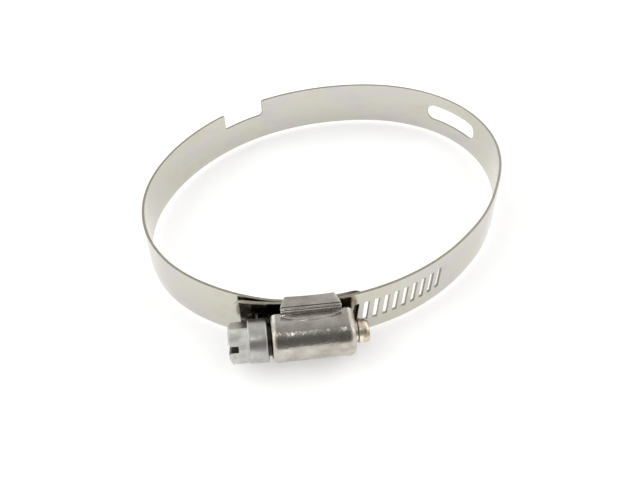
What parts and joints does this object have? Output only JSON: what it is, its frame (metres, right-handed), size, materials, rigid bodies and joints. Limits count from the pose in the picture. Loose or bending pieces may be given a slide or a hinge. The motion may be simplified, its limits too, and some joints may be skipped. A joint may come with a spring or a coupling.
{
  "type": "worm-drive hose clamp",
  "caption": "Worm-drive hose clamp: perforated steel band in an open oval, held in a domed housing with a slotted hexagon screw.",
  "frame": {"origin": "on the hose axis, in the middle of the open ring, at mid-width of the band", "axes": "+Z along the hose axis, +X along the screw from its head to its tip, housing on the -Y side"},
  "size_m": [0.0964, 0.0972, 0.0142],
  "materials": {
    "band_steel": "satin, thin stainless strip",
    "pressed_steel": "polished pressing",
    "screw_steel": "bright plated"
  },
  "bodies": {
    "clamp_head": {"band_head": "band_steel", "housing": "pressed_steel", "saddle": "pressed_steel"},
    "screw": {"screw": "screw_steel", "screw_thread": "screw_steel"},
    "band_link_01": {"band_link_01": "band_steel"},
    "band_link_02": {"band_link_02": "band_steel"},
    "band_link_03": {"band_link_03": "band_steel"},
    "band_link_04": {"band_link_04": "band_steel"},
    "band_link_05": {"band_link_05": "band_steel"},
    "band_link_06": {"band_link_06": "band_steel"},
    "band_link_07": {"band_link_07": "band_steel"},
    "band_link_08": {"band_link_08": "band_steel"},
    "band_tail": {"band_tail": "band_steel"}
  },
  "joints": [
    {"name": "screw_turn", "type": "hinge", "parent": "clamp_head", "child": "screw", "pos_m": [-0.0095, -0.0486, 0], "axis": [1, 0, 0], "range_deg": [-1080, 3960]},
    {"name": "bend_01", "type": "hinge", "parent": "clamp_head", "child": "band_link_01", "pos_m": [-0.01979, -0.04215, 0], "axis": [0, 0, 1], "range_deg": [-9.8, 2.69]},
    {"name": "bend_02", "type": "hinge", "parent": "band_link_01", "child": "band_link_02", "pos_m": [-0.03996, -0.02903, 0], "axis": [0, 0, 1], "range_deg": [-1.83, 6.64]},
    {"name": "bend_03", "type": "hinge", "parent": "band_link_02", "child": "band_link_03", "pos_m": [-0.04719, 0, 0], "axis": [0, 0, 1], "range_deg": [-1.22, 4.41]},
    {"name": "bend_04", "type": "hinge", "parent": "band_link_03", "child": "band_link_04", "pos_m": [-0.03349, 0.02523, 0], "axis": [0, 0, 1], "range_deg": [-10.85, 2.97]},
    {"name": "bend_05", "type": "hinge", "parent": "band_link_04", "child": "band_link_05", "pos_m": [-0.00788, 0.04056, 0], "axis": [0, 0, 1], "range_deg": [-13.08, 3.58]},
    {"name": "bend_06", "type": "hinge", "parent": "band_link_05", "child": "band_link_06", "pos_m": [0.02522, 0.04036, 0], "axis": [0, 0, 1], "range_deg": [-6.76, 1.86]},
    {"name": "bend_07", "type": "hinge", "parent": "band_link_06", "child": "band_link_07", "pos_m": [0.04784, 0.01017, 0], "axis": [0, 0, 1], "range_deg": [-4.64, 16.98]},
    {"name": "bend_08", "type": "hinge", "parent": "band_link_07", "child": "band_link_08", "pos_m": [0.04233, -0.01134, 0], "axis": [0, 0, 1], "range_deg": [-6.74, 1.85]},
    {"name": "bend_09", "type": "hinge", "parent": "band_link_08", "child": "band_tail", "pos_m": [0.02979, -0.02827, 0], "axis": [0, 0, 1], "range_deg": [-9.24, 2.53]}
  ],
  "couplings": [
    {"joint": "bend_01", "follows": "screw_turn", "ratio": -0.0024688},
    {"joint": "bend_02", "follows": "screw_turn", "ratio": 0.0016716},
    {"joint": "bend_03", "follows": "screw_turn", "ratio": 0.0011081},
    {"joint": "bend_04", "follows": "screw_turn", "ratio": -0.0027354},
    {"joint": "bend_05", "follows": "screw_turn", "ratio": -0.0032989},
    {"joint": "bend_06", "follows": "screw_turn", "ratio": -0.0017031},
    {"joint": "bend_07", "follows": "screw_turn", "ratio": 0.0042824},
    {"joint": "bend_08", "follows": "screw_turn", "ratio": -0.0016966},
    {"joint": "bend_09", "follows": "screw_turn", "ratio": -0.0023272}
  ]
}
